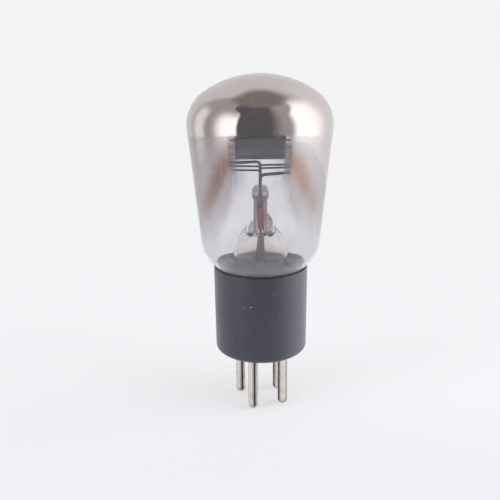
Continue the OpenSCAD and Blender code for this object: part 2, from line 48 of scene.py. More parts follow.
# an output socket that takes part in plain expressions, each one a Math node
class Flow:
    def __init__(self, tree, socket):
        self.tree = tree
        self.socket = socket

    def worked(self, operation, first, second=None, clamp=False):
        inputs = {0: first} if second is None else {0: first, 1: second}
        settings = {"operation": operation, "use_clamp": clamp}
        return self.tree.node("ShaderNodeMath", settings, inputs)

    def __add__(self, other):
        return self.worked("ADD", self, other)

    def __radd__(self, other):
        return self.worked("ADD", other, self)

    def __sub__(self, other):
        return self.worked("SUBTRACT", self, other)

    def __rsub__(self, other):
        return self.worked("SUBTRACT", other, self)

    def __mul__(self, other):
        return self.worked("MULTIPLY", self, other)

    def __rmul__(self, other):
        return self.worked("MULTIPLY", other, self)

    def __truediv__(self, other):
        return self.worked("DIVIDE", self, other)

    def __rtruediv__(self, other):
        return self.worked("DIVIDE", other, self)

    def __abs__(self):
        return self.worked("ABSOLUTE", self)

    def clamped(self):
        return self.worked("ADD", self, 0.0, True)

    def root(self):
        return self.worked("SQRT", self)

    def turnOver(self, other):
        return self.worked("ARCTAN2", self, other)

    def greater(self, other):
        return self.worked("MAXIMUM", self, other)


# a node tree in which one method makes every node
class Tree:
    def __init__(self, tree, output):
        self.tree = tree
        self.tree.nodes.clear()
        self.output = self.tree.nodes.new(output)

    def feed(self, socket, value):
        if isinstance(value, Flow):
            self.tree.links.new(value.socket, socket)
        elif hasattr(value, "__len__") and len(value) == 3 and socket.type == "RGBA":
            socket.default_value = (*value, 1.0)
        else:
            socket.default_value = value

    def node(self, kind, settings=None, inputs=None, output=0):
        made = self.tree.nodes.new(kind)
        for key, value in (settings or {}).items():
            setattr(made, key, value)
        for key, value in (inputs or {}).items():
            self.feed(made.inputs[key], value)
        return Flow(self, made.outputs[output])

    def surface(self, shader):
        self.tree.links.new(shader.socket, self.output.inputs["Surface"])


# a material with one principled shader
class Paint(Tree):
    def __init__(self, name, **constants):
        self.material = bpy.data.materials.new(name)
        self.material.use_nodes = True
        super().__init__(self.material.node_tree, "ShaderNodeOutputMaterial")
        self.shader = self.node("ShaderNodeBsdfPrincipled")
        self.surface(self.shader)
        self.set(**constants)

    def set(self, **values):
        inputs = self.shader.socket.node.inputs
        for key, value in values.items():
            self.feed(inputs[key.replace("_", " ")], value)

    def place(self):
        return self.node("ShaderNodeTexCoord", output="Object")

    def parts(self, vector):
        split = self.node("ShaderNodeSeparateXYZ", {}, {0: vector})
        return [Flow(self, socket) for socket in split.socket.node.outputs]

    def stretched(self, scale, turn=(0, 0, 0)):
        return self.node("ShaderNodeMapping", {}, {
            "Vector": self.place(), "Scale": scale, "Rotation": turn})

    def noise(self, scale, detail=3.0, roughness=0.5, vector=None):
        return self.node("ShaderNodeTexNoise", {}, {
            "Vector": vector or self.place(), "Scale": scale,
            "Detail": detail, "Roughness": roughness})

    def band(self, value, low, high, fromValue=0.0, toValue=1.0):
        return self.node("ShaderNodeMapRange", {"interpolation_type": "SMOOTHSTEP"}, {
            "Value": value, "From Min": low, "From Max": high,
            "To Min": fromValue, "To Max": toValue})

    def within(self, value, rise, fall):
        return self.band(value, *rise) * self.band(value, *fall, 1.0, 0.0)

    def mixed(self, factor, first, second):
        return self.node("ShaderNodeMix", {"data_type": "RGBA"}, {
            0: factor, 6: first, 7: second}, output=2)

    def glow(self, colour):
        return self.node("ShaderNodeEmission", {}, {"Color": colour})

    def bumped(self, height, strength, distance):
        self.set(Normal=self.node("ShaderNodeBump", {}, {
            "Height": height, "Strength": strength, "Distance": distance}))

    def veiled(self, cover, colour):
        # a thin pale layer over the shader, as thick as cover says
        layer = self.node("ShaderNodeBsdfDiffuse", {}, {"Color": colour})
        self.surface(self.node("ShaderNodeMixShader", {}, {0: cover, 1: self.shader, 2: layer}))


def dress(paint, *names):
    for name in names:
        node = nodes[name]
        node.data.materials.clear()
        node.data.materials.append(paint.material)


# the camera, worked out from the pins, the base and the rim in the photograph
view = {
    "stand": (0.0, -0.2245, 0.1180),
    "down": math.radians(16.35),
    "turn": -0.01514,
    "roll": -0.00927,
    "lens": 52.41,
    "sensor": 36.0,
    "near": 0.005,
    "far": 20.0,
}


def setCamera():
    data = bpy.data.cameras.new("camera")
    camera = bpy.data.objects.new("camera", data)
    bpy.context.scene.collection.objects.link(camera)
    data.sensor_fit = "HORIZONTAL"
    data.sensor_width = view["sensor"]
    data.lens = view["lens"]
    data.clip_start = view["near"]
    data.clip_end = view["far"]
    ahead = Vector((
        math.sin(view["turn"]) * math.cos(view["down"]),
        math.cos(view["turn"]) * math.cos(view["down"]),
        -math.sin(view["down"]),
    ))
    right = ahead.cross(Vector((0, 0, 1))).normalized()
    up = right.cross(ahead)
    rolledRight = right * math.cos(view["roll"]) + up * math.sin(view["roll"])
    rolledUp = up * math.cos(view["roll"]) - right * math.sin(view["roll"])
    turn = Matrix((rolledRight, rolledUp, -ahead)).transposed()
    camera.matrix_world = Matrix.Translation(view["stand"]) @ turn.to_4x4()
    bpy.context.scene.camera = camera


setCamera()
print("camera set")


# pale floor that fades into the background, three soft boxes and an even room;
# lengths in metres, angles of the lamps in degrees
studio = {
    "background": (0.90, 0.90, 0.925),
    "floor": (0.86, 0.86, 0.89),
    "floorRadius": 4.0,
    "floorGlow": 0.62,
    "floorFade": (0.07, 0.30),
    # painted shade: the floor in front of the tube is painted darker over these rows
    "nearFloorShade": (0.83, 0.82, 0.865),
    "nearShadeRows": ((-0.60, -0.26), (-0.055, 0.015)),
    "room": 0.62,
    "lampsAim": 0.08,
    "left": {"azimuth": -57, "height": 27, "reach": 0.75, "size": (0.42, 0.55), "power": 1.9},
    "right": {"azimuth": 80, "height": 30, "reach": 0.85, "size": (0.80, 0.70), "power": 4.2},
    "top": {"azimuth": 20, "height": 78, "reach": 0.90, "size": (0.50, 0.50), "power": 1.4},
}


def setFloor():
    bpy.ops.object.select_all(action="DESELECT")
    bpy.ops.mesh.primitive_circle_add(
        vertices=64, radius=studio["floorRadius"], fill_type="NGON", location=(0, 0, 0))
    floor = bpy.context.active_object
    floor.name = "floor"
    paint = Paint("floorPaint")
    away = paint.node(
        "ShaderNodeVectorMath", {"operation": "LENGTH"}, {0: paint.place()}, output=1)
    fade = paint.band(away, *studio["floorFade"], studio["floorGlow"], 1.0)
    ahead = paint.parts(paint.place())[1]
    # painted shade: a darker band of floor in front of the tube
    near = paint.within(ahead, *studio["nearShadeRows"])
    colour = paint.mixed(near, studio["background"], studio["nearFloorShade"])
    diffuse = paint.node("ShaderNodeBsdfDiffuse", {}, {"Color": studio["floor"]})
    paint.surface(paint.node("ShaderNodeMixShader", {}, {
        0: fade, 1: diffuse, 2: paint.glow(colour)}))
    floor.data.materials.append(paint.material)


def setLamp(name, lamp):
    data = bpy.data.lights.new(name, "AREA")
    data.shape = "RECTANGLE"
    data.size, data.size_y = lamp["size"]
    data.energy = lamp["power"]
    made = bpy.data.objects.new(name, data)
    bpy.context.scene.collection.objects.link(made)
    azimuth, height = math.radians(lamp["azimuth"]), math.radians(lamp["height"])
    toLamp = Vector((
        math.sin(azimuth) * math.cos(height),
        -math.cos(azimuth) * math.cos(height),
        math.sin(height),
    ))
    made.location = Vector((0, 0, studio["lampsAim"])) + toLamp * lamp["reach"]
    made.rotation_euler = toLamp.to_track_quat("Z", "Y").to_euler()
    made.visible_glossy = False  # the ring of cards shows in reflections instead
    made.visible_transmission = False


def setRoom():
    world = bpy.data.worlds.new("room")
    bpy.context.scene.world = world
    world.use_nodes = True
    room = Tree(world.node_tree, "ShaderNodeOutputWorld")
    seen = room.node("ShaderNodeBackground", {}, {"Color": studio["background"]})
    felt = room.node("ShaderNodeBackground", {}, {
        "Color": (1.0, 1.0, 1.0), "Strength": studio["room"]})
    straight = room.node("ShaderNodeLightPath", output="Is Camera Ray")
    through = room.node("ShaderNodeLightPath", output="Is Transmission Ray")
    mirrored = room.node("ShaderNodeLightPath", output="Is Glossy Ray")
    shown = straight.greater(through).greater(mirrored)
    room.surface(room.node("ShaderNodeMixShader", {}, {0: shown, 1: felt, 2: seen}))


# a ring of studio cards that only reflections meet: a dark gap in front, a bright soft
# box on either side of it and a dim ceiling. Angles are in radians, to the right of the
# front or upwards, and a soft edge is a pair; a tone is an edge and its two strengths
cards = {
    "radius": 0.30, "low": 0.004, "middle": 0.09, "faces": 96, "rings": 48,
    "leftBox": (-1.45, -0.95), "leftTone": (0.35, 0.90, 2.3, 0.55),
    "gapLeft": (-0.66, -0.57), "gapRight": (0.25, 0.95), "gapTone": (0.12, 0.55),
    "gapLean": 0.42, "gapLeans": (0.7, 1.0),
    "rightBox": (0.82, 1.08), "rightEnd": (2.3, 3.0), "rightTone": (0.75, 1.25, 1.0, 0.45),
    "rightAround": (1.4, 2.3, 2.4, 1.2), "rightLean": 0.45, "rightLeans": (0.6, 1.1),
    "strip": ((-2.2, -1.95), (-1.78, -1.55)), "stripTop": (0.40, 0.70), "stripTone": 0.80,
    "wallTone": 0.56, "back": (2.0, 2.35), "backTone": 0.42, "wallTint": (1.0, 0.99, 0.985),
    "ceiling": (1.02, 1.24), "ceilingTone": 0.30, "ceilingTint": (1.0, 0.90, 0.80),
    "seenFromDepth": (0.3, 0.7),
}


def makeCards():
    bpy.ops.object.select_all(action="DESELECT")
    low, middle = cards["low"], cards["middle"]
    bpy.ops.mesh.primitive_uv_sphere_add(
        segments=cards["faces"], ring_count=cards["rings"], radius=cards["radius"],
        location=(0, 0, middle))
    made = bpy.context.active_object
    made.name = "studioCards"
    bpy.ops.object.transform_apply(location=True, rotation=True, scale=True)
    # below its middle the ball becomes an upright wall that ends just over the floor
    bpy.ops.object.mode_set(mode="EDIT")
    bpy.ops.mesh.select_all(action="SELECT")
    bpy.ops.mesh.bisect(plane_co=(0, 0, middle), plane_no=(0, 0, 1), clear_inner=True)
    bpy.ops.mesh.select_all(action="DESELECT")
    bpy.ops.mesh.select_mode(type="VERT")
    bpy.ops.object.mode_set(mode="OBJECT")
    for corner in made.data.vertices:
        corner.select = abs(corner.co.z - middle) < 0.0001
    bpy.ops.object.mode_set(mode="EDIT")
    bpy.ops.mesh.select_mode(type="EDGE")
    bpy.ops.mesh.extrude_region_move(TRANSFORM_OT_translate={"value": (0, 0, low - middle)})
    bpy.ops.object.mode_set(mode="OBJECT")
    bpy.ops.object.shade_smooth()
    return made


def paintCards(made):
    paint = Paint("cardPaint")
    x, y, z = paint.parts(paint.place())
    side = x.turnOver(-1 * y)
    lift = (z - cards["middle"]).turnOver((x * x + y * y).root())
    # the boxes lean away from the gap towards the ceiling
    gapSide = side + cards["gapLean"] * paint.band(lift, *cards["gapLeans"])
    rightSide = side - cards["rightLean"] * paint.band(lift, *cards["rightLeans"])
    left = paint.within(side, cards["leftBox"], cards["gapLeft"])
    left = left * paint.band(gapSide, *cards["gapLeft"], 1.0, 0.0)
    right = paint.band(rightSide, *cards["rightBox"])
    right = right * paint.band(side, *cards["rightEnd"], 1.0, 0.0)
    dark = paint.band(gapSide, *cards["gapLeft"])
    dark = dark * paint.band(side, *cards["gapRight"], 1.0, 0.0)
    leftTone = paint.band(lift, *cards["leftTone"])
    rightTone = paint.band(lift, *cards["rightTone"]) * paint.band(side, *cards["rightAround"])
    gapTone, gapRise = cards["gapTone"]
    strip = paint.within(side, *cards["strip"])
    strip = strip * paint.band(lift, *cards["stripTop"], 1.0, 0.0)
    wall = cards["wallTone"] + cards["stripTone"] * strip
    wall = wall + cards["backTone"] * paint.band(abs(side), *cards["back"])
    wall = wall * (1 - left) * (1 - right) * (1 - dark)
    wall = wall + leftTone * left + rightTone * right
    wall = wall + (gapTone + gapRise * paint.band(side, *cards["gapRight"])) * dark * (1 - right)
    ceiling = paint.band(lift, *cards["ceiling"])
    strength = wall * (1 - ceiling) + cards["ceilingTone"] * ceiling
    tint = paint.mixed(ceiling, cards["wallTint"], cards["ceilingTint"])
    light = paint.node("ShaderNodeVectorMath", {"operation": "SCALE"}, {
        0: tint, "Scale": strength})
    # only what is mirrored shows the ring; what is seen through the glass passes it
    depth = paint.node("ShaderNodeLightPath", output="Glossy Depth")
    mirrored = paint.band(depth, *cards["seenFromDepth"])
    paint.surface(paint.node("ShaderNodeMixShader", {}, {
        0: mirrored, 1: paint.node("ShaderNodeBsdfTransparent"), 2: paint.glow(light)}))
    made.data.materials.append(paint.material)


def setCards():
    made = makeCards()
    paintCards(made)
    made.visible_camera = False
    made.visible_diffuse = False
    made.visible_shadow = False


setFloor()
for name in ("left", "right", "top"):
    setLamp(name, studio[name])
setRoom()
setCards()
bpy.context.scene.view_settings.view_transform = "Standard"
print("studio set")


# the bulb's outline: crown, shoulder, flank, corner, funnel and neck, in millimetres
# and degrees; the steps are the pieces of each arc and of one turn
bulb = {
    "top": 107.5, "crown": 30.5, "shoulder": 12.25, "widest": 22.5, "taper": 5.8,
    "corner": 10.0, "funnel": 38.0, "seat": 46.18, "seatRadius": 13.55, "neck": 12.27,
    "neckRound": 1.5, "foot": 34.65, "wall": 0.8, "steps": 192,
    "crownSteps": 18, "shoulderSteps": 20, "flankSteps": 12, "cornerSteps": 10,
    "throatSteps": 6,
}
# the glasses' colours, and the veils that dust and smears lay on the bulb; heights in
# metres, over which the dome has no streaks and under which the funnel is paler. A
# grain is a noise's scale, detail and roughness
glass = {
    "tint": (0.905, 0.90, 0.925), "ior": 1.47, "dust": (0.82, 0.82, 0.90),
    "veil": 0.035, "funnelVeil": 0.075, "streakVeil": 0.12, "speckVeil": 0.5,
    "smears": (60.0, 4.0, 0.6), "smearShows": (0.42, 0.58), "smearRough": 0.05,
    "swirls": (110.0, 4.0, 0.6), "streakWidth": (0.001, 0.008), "streaksEnd": (0.082, 0.088),
    "specks": (1500.0, 1.0), "speckShows": (0.76, 0.80), "funnelEnd": (0.048, 0.058),
    "ripples": (45.0, 2.0), "rippleBump": (0.02, 0.001),
    "stemTint": (0.975, 0.955, 0.915), "stemIor": 1.5, "stemVeil": (0.84, 0.79, 0.73),
    "tubeTint": (0.36, 0.36, 0.42), "tubeGrain": (500.0, 3.0), "tubeRough": 0.10,
}


def arc(centre, radius, start, end, count):
    angles = [start + (end - start) * i / count for i in range(count + 1)]
    return [(centre[0] + radius * math.cos(a), centre[1] + radius * math.sin(a)) for a in angles]


def bulbSide(inset):
    # half outline from the pole down to the foot of the neck, taken in by inset
    taper, funnel = math.radians(bulb["taper"]), math.radians(bulb["funnel"])
    crownZ = bulb["top"] - bulb["crown"]
    shoulderX = bulb["widest"] - bulb["shoulder"]
    shoulderZ = crownZ + math.sqrt((bulb["crown"] - bulb["shoulder"]) ** 2 - shoulderX ** 2)
    joint = math.atan2(shoulderZ - crownZ, shoulderX)
    drop = bulb["shoulder"] - bulb["corner"]
    coreX = shoulderX + drop * math.cos(taper)
    coreZ = shoulderZ - drop * math.sin(taper)
    startX = coreX - coreZ * math.tan(taper)
    over = bulb["corner"] - (bulb["seatRadius"] - startX) * math.cos(funnel)
    over += bulb["seat"] * math.sin(funnel)
    cornerZ = over / (math.sin(funnel) - math.tan(taper) * math.cos(funnel))
    cornerX = startX + cornerZ * math.tan(taper)
    edgeX = cornerX + bulb["corner"] * math.cos(funnel)
    edgeZ = cornerZ - bulb["corner"] * math.sin(funnel)
    throatX = bulb["neck"] + bulb["neckRound"]
    reach = (throatX - edgeX) * math.cos(funnel) - bulb["neckRound"]
    throatZ = edgeZ + reach / math.sin(funnel)
    points = arc(
        (0.0, crownZ), bulb["crown"] - inset, math.pi / 2, joint, bulb["crownSteps"])
    points += arc(
        (shoulderX, shoulderZ), bulb["shoulder"] - inset, joint, -taper,
        bulb["shoulderSteps"])[1:]
    corner = arc(
        (cornerX, cornerZ), bulb["corner"] - inset, -taper, -funnel, bulb["cornerSteps"])
    (x0, z0), (x1, z1) = points[-1], corner[0]
    steps = bulb["flankSteps"]
    points += [(x0 + (x1 - x0) * i / steps, z0 + (z1 - z0) * i / steps) for i in range(1, steps)]
    points += corner
    points += arc(
        (throatX, throatZ), bulb["neckRound"] + inset, math.pi - funnel, math.pi,
        bulb["throatSteps"])
    points.append((bulb["neck"] - inset, bulb["foot"]))
    points[0] = (0.0, bulb["top"] - inset)
    return points


def turnedPiece(name, points, steps):
    # a ring is opened into the profile, which is then turned about the axis
    bpy.ops.object.select_all(action="DESELECT")
    bpy.ops.mesh.primitive_circle_add(vertices=len(points), radius=0.01, fill_type="NOTHING")
    made = bpy.context.active_object
    made.name = name
    for corner, (r, z) in zip(made.data.vertices, points):
        corner.co = (r * mm, 0.0, z * mm)
        corner.select = False
    for edge in made.data.edges:
        edge.select = abs(edge.vertices[0] - edge.vertices[1]) > 1
    bpy.ops.object.mode_set(mode="EDIT")
    bpy.ops.mesh.select_mode(type="EDGE")
    bpy.ops.mesh.delete(type="EDGE_FACE")
    bpy.ops.mesh.select_all(action="SELECT")
    bpy.ops.mesh.spin(steps=steps, angle=math.tau, center=(0, 0, 0), axis=(0, 0, 1))
    bpy.ops.mesh.select_all(action="SELECT")
    bpy.ops.mesh.remove_doubles(threshold=weldDistance)
    bpy.ops.mesh.normals_make_consistent(inside=False)
    bpy.ops.object.mode_set(mode="OBJECT")
    bpy.ops.object.shade_smooth_by_angle(angle=math.radians(smoothAngle))
    return made


def paintBulb(made):
    paint = Paint(
        "bulbGlass", Base_Color=glass["tint"], Transmission_Weight=1.0, IOR=glass["ior"])
    smear = paint.noise(*glass["smears"], paint.stretched((1.0, 1.0, 0.35)))
    paint.set(Roughness=paint.band(smear, 0.45, 0.8, 0.0, glass["smearRough"]))
    paint.bumped(paint.noise(*glass["ripples"]), *glass["rippleBump"])
    # wiped streaks and a few specks of dust lie on the glass
    height = paint.parts(paint.place())[2]
    turned = paint.stretched((1.0, 1.4, 0.8), (0.5, 0.3, 0.0))
    swirl = paint.noise(*glass["swirls"], turned)
    streak = paint.band(abs(swirl - 0.5), *glass["streakWidth"], 1.0, 0.0)
    streak = streak * paint.band(smear, *glass["smearShows"])
    streak = streak * paint.band(height, *glass["streaksEnd"], 1.0, 0.0)
    speck = paint.band(paint.noise(*glass["specks"]), *glass["speckShows"])
    funnel = paint.band(height, *glass["funnelEnd"], 1.0, 0.0)
    cover = glass["veil"] + glass["funnelVeil"] * funnel
    cover = cover + glass["streakVeil"] * streak + glass["speckVeil"] * speck
    paint.veiled(cover.clamped(), glass["dust"])
    made.data.materials.append(paint.material)


def paintTube():
    paint = Paint(
        "tubeGlass", Base_Color=glass["tubeTint"], Transmission_Weight=1.0,
        IOR=glass["stemIor"])
    grain = paint.noise(*glass["tubeGrain"])
    paint.set(Roughness=paint.band(grain, 0.5, 0.8, 0.0, glass["tubeRough"]))
    dress(paint, "exhaust_tube")


blownBulb = turnedPiece("blownBulb", bulbSide(0.0) + bulbSide(bulb["wall"])[::-1], bulb["steps"])
paintBulb(blownBulb)
paintTube()
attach(blownBulb, "root")
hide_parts("bulb")
print("bulb made:", len(blownBulb.data.polygons), "faces")


# the stem: a flared tube, pinched into a flat press with a swollen lip, and two lobes
# that hang into its hollow on either side of the wires. All in millimetres; a ring of a
# table has its height, half width across, half width along and squareness
stem = {
    "foot": 34.65, "flareLip": 11.42, "flare": 4.0, "flareSteps": 8, "wall": 0.9, "tube": 7.5,
    "bulge": 8.7, "bulgeZ": 50.3, "belly": 6.0, "pinch": 11.5, "pinchOver": 0.1,
    "pinchSteps": 18, "pressFoot": 60.6, "half": 2.2, "halfOver": 0.12, "long": 9.45,
    "lip": 2.7, "lipLong": 9.9, "lipRound": 0.9, "lipZ": 70.95, "lipSquare": 3.0,
    "lipTurns": (70, 45, 20, -5, -30, -55, -80),
    "top": ((71.95, 0.0, 7.6, 2.4), (71.95, 0.7, 8.3, 2.6), (71.85, 1.4, 9.0, 2.8)),
    "underLip": ((70.0, 2.05, 9.3, 3.6), (69.5, 2.15, 9.4, 3.8), (68.0, 2.2, 9.45, 5.0)),
    "press": {"top": 66.5, "step": 1.1, "widening": 0.02, "rings": 6, "square": 5.5},
    "outside": (49.5, 48.7, 47.9, 47.1, 46.4, 45.0, 42.5, 40.0),
    "inside": (40.0, 42.5, 45.0, 46.6, 47.3, 48.1, 48.9, 49.6),
    "hollow": {"height": 8.6, "rings": 12, "square": 1.5},
    # the hollow ends in a furrow outside each lobe
    "furrow": ((59.5, 4.45, 8.35, 3.4), (59.85, 4.22, 8.35, 3.4), (59.9, 4.05, 8.35, 3.4),
               (59.7, 3.92, 8.35, 3.4)),
    "lobe": ((59.35, 3.7), (59.12, 3.3), (59.0, 2.8), (58.98, 2.3), (59.05, 1.8), (59.2, 1.3),
             (59.45, 0.8), (59.6, 0.35), (59.65, 0.0)),
    "lobeLong": 8.3, "lobeNarrowing": 0.08, "lobeSquare": 3.0,
    "roundEnd": 0.5, "endArc": 0.3, "faces": 192, "round": 2.0,
}
# the rough bead round the exhaust port, on the right of the press, in millimetres
bead = {
    "height": 62.5, "out": 2.8, "ahead": -0.6, "lean": 62, "radius": 0.6, "port": 0.6,
    "lumps": 0.18, "seed": 3, "around": 28, "across": 14,
}


def roundPart(z):
    # half width of the tube and the bulge at a height
    low = stem["bulgeZ"] - z
    reach = math.sqrt(max(stem["belly"] ** 2 - low ** 2, 0.0))
    return max(stem["bulge"] - stem["belly"] + reach, stem["tube"])


def pinchedPart(z, inset):
    # half width across the press at a height over the bulge
    high = z - stem["bulgeZ"]
    r = stem["pinch"] - inset
    middle = stem["bulge"] + stem["pinchOver"] - stem["pinch"]
    return middle + math.sqrt(max(r * r - high * high, 0.0))


def flareRings(radius, start, turn, first):
    # a quarter turn round the flare's edge, counted from the first step
    rings = []
    for i in range(first, stem["flareSteps"] + 1):
        a = math.radians(start + turn * i / stem["flareSteps"])
        r = stem["flareLip"] + radius * math.cos(a)
        z = stem["foot"] + stem["flare"] + radius * math.sin(a)
        rings.append((z, r, r, stem["round"]))
    return rings


def stemRings():
    # from the lip down the outside, round the flare, up the hollow and over the
    # lobes to the middle line
    foot, rise = stem["bulgeZ"], stem["pressFoot"] - stem["bulgeZ"]
    press, hollow, curve = stem["press"], stem["hollow"], stem["lipRound"]
    rings = list(stem["top"])
    for degrees in stem["lipTurns"]:
        a = math.radians(degrees)
        z, out = stem["lipZ"] + curve * math.sin(a), curve * math.cos(a) - curve
        rings.append((z, stem["lip"] + out, stem["lipLong"] + out, stem["lipSquare"]))
    rings += stem["underLip"]
    for i in range(press["rings"]):
        z, half = press["top"] - press["step"] * i, stem["half"] + press["widening"] * i
        rings.append((z, half, stem["long"], press["square"]))
    for i in range(stem["pinchSteps"] + 1):
        t = 1 - i / stem["pinchSteps"]
        z = foot + rise * t
        half = max(pinchedPart(z, 0.0), stem["half"] + stem["halfOver"])
        along = stem["bulge"] + (stem["long"] - stem["bulge"]) * t
        square = stem["round"] + (press["square"] - stem["round"]) * t ** 3
        rings.append((z, half, along, square))
    rings += [(z, roundPart(z), roundPart(z), stem["round"]) for z in stem["outside"]]
    rings += flareRings(stem["flare"], 180, 90, 1)
    rings += flareRings(stem["flare"] + stem["wall"], 270, -90, 0)
    for z in stem["inside"]:
        r = roundPart(z) - stem["wall"]
        rings.append((z, r, r, stem["round"]))
    for i in range(hollow["rings"] + 1):
        z = foot + hollow["height"] * i / hollow["rings"]
        t = (z - foot) / rise
        along = stem["bulge"] - stem["wall"] + (stem["long"] - stem["bulge"]) * t
        square = stem["round"] + hollow["square"] * t * t
        rings.append((z, pinchedPart(z, stem["wall"]), along, square))
    rings += stem["furrow"]
    widest = stem["lobe"][0][1]
    for z, across in stem["lobe"]:
        along = stem["lobeLong"] - stem["lobeNarrowing"] * (widest - across)
        rings.append((z, across, along, stem["lobeSquare"]))
    return rings


def powered(value, power):
    return math.copysign(abs(value) ** power, value)


def ringPoint(ring, angle):
    z, across, along, square = ring
    turned, upright = math.cos(angle), math.sin(angle)
    # a flat ring has straight sides and round ends
    flat = min((square - 2) / 3, 1) * min(across / 2, 1) * stem["roundEnd"]
    straight = max(min(math.asin(upright) / stem["endArc"], 1), -1)
    x = across * powered(turned, 2 / square) * (1 - flat) + across * turned * flat
    y = along * powered(upright, 2 / square) * (1 - flat)
    y += ((along - across) * straight + across * upright) * flat
    return x * mm, y * mm, z * mm


def makeStem():
    bpy.ops.object.select_all(action="DESELECT")
    rings = stemRings()
    tall = 0.04
    bpy.ops.mesh.primitive_cylinder_add(
        vertices=stem["faces"], radius=0.01, depth=tall, end_fill_type="NOTHING",
        location=(0, 0, 0))
    made = bpy.context.active_object
    made.name = "pinchedStem"
    bpy.ops.object.mode_set(mode="EDIT")
    bpy.ops.mesh.select_mode(type="EDGE")
    bpy.ops.mesh.select_all(action="DESELECT")
    bpy.ops.object.mode_set(mode="OBJECT")
    # every upright edge is cut into as many steps as there are rings
    for edge in made.data.edges:
        ends = [made.data.vertices[i].co.z for i in edge.vertices]
        edge.select = abs(ends[0] - ends[1]) > tall / 4
    bpy.ops.object.mode_set(mode="EDIT")
    bpy.ops.mesh.subdivide(number_cuts=len(rings) - 2)
    bpy.ops.object.mode_set(mode="OBJECT")
    step = tall / (len(rings) - 1)
    for corner in made.data.vertices:
        ring = rings[round((tall / 2 - corner.co.z) / step)]
        corner.co = ringPoint(ring, math.atan2(corner.co.y, corner.co.x))
    bpy.ops.object.mode_set(mode="EDIT")
    bpy.ops.mesh.select_all(action="SELECT")
    bpy.ops.mesh.remove_doubles(threshold=weldDistance)
    bpy.ops.mesh.normals_make_consistent(inside=False)
    bpy.ops.object.mode_set(mode="OBJECT")
    bpy.ops.object.shade_smooth()
    return made


def makeBead():
    bpy.ops.object.select_all(action="DESELECT")
    bpy.ops.mesh.primitive_torus_add(
        major_segments=bead["around"], minor_segments=bead["across"],
        major_radius=(bead["port"] + bead["radius"]) * mm, minor_radius=bead["radius"] * mm,
        location=(bead["out"] * mm, bead["ahead"] * mm, bead["height"] * mm),
        rotation=(0, math.radians(bead["lean"]), 0))
    made = bpy.context.active_object
    made.name = "portBead"
    bpy.ops.object.transform_apply(location=True, rotation=True, scale=True)
    bpy.ops.object.mode_set(mode="EDIT")
    bpy.ops.mesh.select_all(action="SELECT")
    bpy.ops.transform.vertex_random(
        offset=bead["lumps"] * mm, uniform=0.0, normal=0.0, seed=bead["seed"])
    bpy.ops.object.mode_set(mode="OBJECT")
    bpy.ops.object.shade_smooth()
    return made


# where the stem's glass is lumpy, frosted or veiled, in metres, each edge a pair, and
# by how much; a pair for the press is what it has everywhere and what the frost adds
stemMarks = {
    "lip": (0.0690, 0.0705),
    "port": ((0.0595, 0.0605), (0.0650, 0.0660)), "portSide": (0.0024, 0.0030),
    "press": ((0.0600, 0.0612), (0.0700, 0.0710)), "besideMiddle": (0.0008, 0.0013),
    "pressEnds": (0.0066, 0.0080),
    "ring": ((0.044, 0.047), (0.0495, 0.0515)),
    "lumps": (700.0, 3.0, 0.6), "drawn": (1500.0, 1500.0, 90.0), "frost": (0.40, 0.56),
    "clearRough": 0.02, "lipRough": 0.28, "pressRough": (0.24, 0.22),
    "clearVeil": 0.01, "ringVeil": 0.24, "pressVeil": (0.26, 0.26), "lipVeil": 0.10,
    "bump": (0.8, 0.0006), "plainBump": 0.04, "pressBump": 0.35,
}


def paintStem(*pieces):
    paint = Paint(
        "stemGlass", Base_Color=glass["stemTint"], Transmission_Weight=1.0,
        IOR=glass["stemIor"])
    x, y, z = paint.parts(paint.place())
    port = paint.within(z, *stemMarks["port"]) * paint.band(x, *stemMarks["portSide"])
    lip = paint.band(z, *stemMarks["lip"]) + port
    lumps = paint.noise(*stemMarks["lumps"])
    drawn = paint.noise(1.0, 3.0, 0.6, paint.stretched(stemMarks["drawn"]))
    frosted = paint.band(drawn, *stemMarks["frost"])
    # the jaws left the press's two ends frosted beside the middle
    pressed = paint.within(z, *stemMarks["press"])
    pressed = pressed * paint.band(abs(x), *stemMarks["besideMiddle"])
    pressed = pressed * paint.band(abs(y), *stemMarks["pressEnds"])
    rough, frostRough = stemMarks["pressRough"]
    lipRough = stemMarks["lipRough"] * lip * paint.band(lumps, 0.3, 0.6)
    paint.set(Roughness=(
        stemMarks["clearRough"] + lipRough + pressed * (rough + frostRough * frosted)))
    height = lumps * (stemMarks["plainBump"] + lip) + stemMarks["pressBump"] * drawn * pressed
    paint.bumped(height, *stemMarks["bump"])
    pale, frostPale = stemMarks["pressVeil"]
    veil = stemMarks["clearVeil"] + stemMarks["ringVeil"] * paint.within(z, *stemMarks["ring"])
    veil = veil + pressed * (pale + frostPale * frosted)
    veil = veil + stemMarks["lipVeil"] * lip * paint.band(lumps, 0.45, 0.60)
    paint.veiled(veil, glass["stemVeil"])
    for piece in pieces:
        piece.data.materials.append(paint.material)


pinchedStem = makeStem()
portBead = makeBead()
paintStem(pinchedStem, portBead)
for piece in (pinchedStem, portBead):
    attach(piece, "root")
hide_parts("stem")
print("stem made:", len(pinchedStem.data.polygons), "faces")


# the getter film: a mirror over the dome that thins to a brownish haze at the sides;
# its shape is in millimetres and degrees
film = {
    "gap": -0.03, "lowest": 50.0, "edge": 88.62, "slope": 7.4, "steps": 192,
    "mirror": (0.54, 0.485, 0.46),
    "plainLeft": (0.54, 0.49, 0.48), "plainRight": (0.70, 0.64, 0.62),
    "brownLeft": (0.33, 0.20, 0.14), "brownRight": (0.58, 0.40, 0.29),
    "darkEdge": (0.15, 0.14, 0.16), "darkEdgeDepth": 0.80, "darkEdgeTone": 0.90,
    "streaks": (300.0, 300.0, 50.0), "clouds": (110.0, 110.0, 60.0), "wavyEdge": 0.6,
    "depth": 0.90, "depthInside": 0.08, "thinnerRight": 0.20, "thinnerBack": 0.10,
    "streaky": 0.22, "hazeMetal": 0.70, "hazeRough": 0.17, "mirrorRough": 0.045,
}
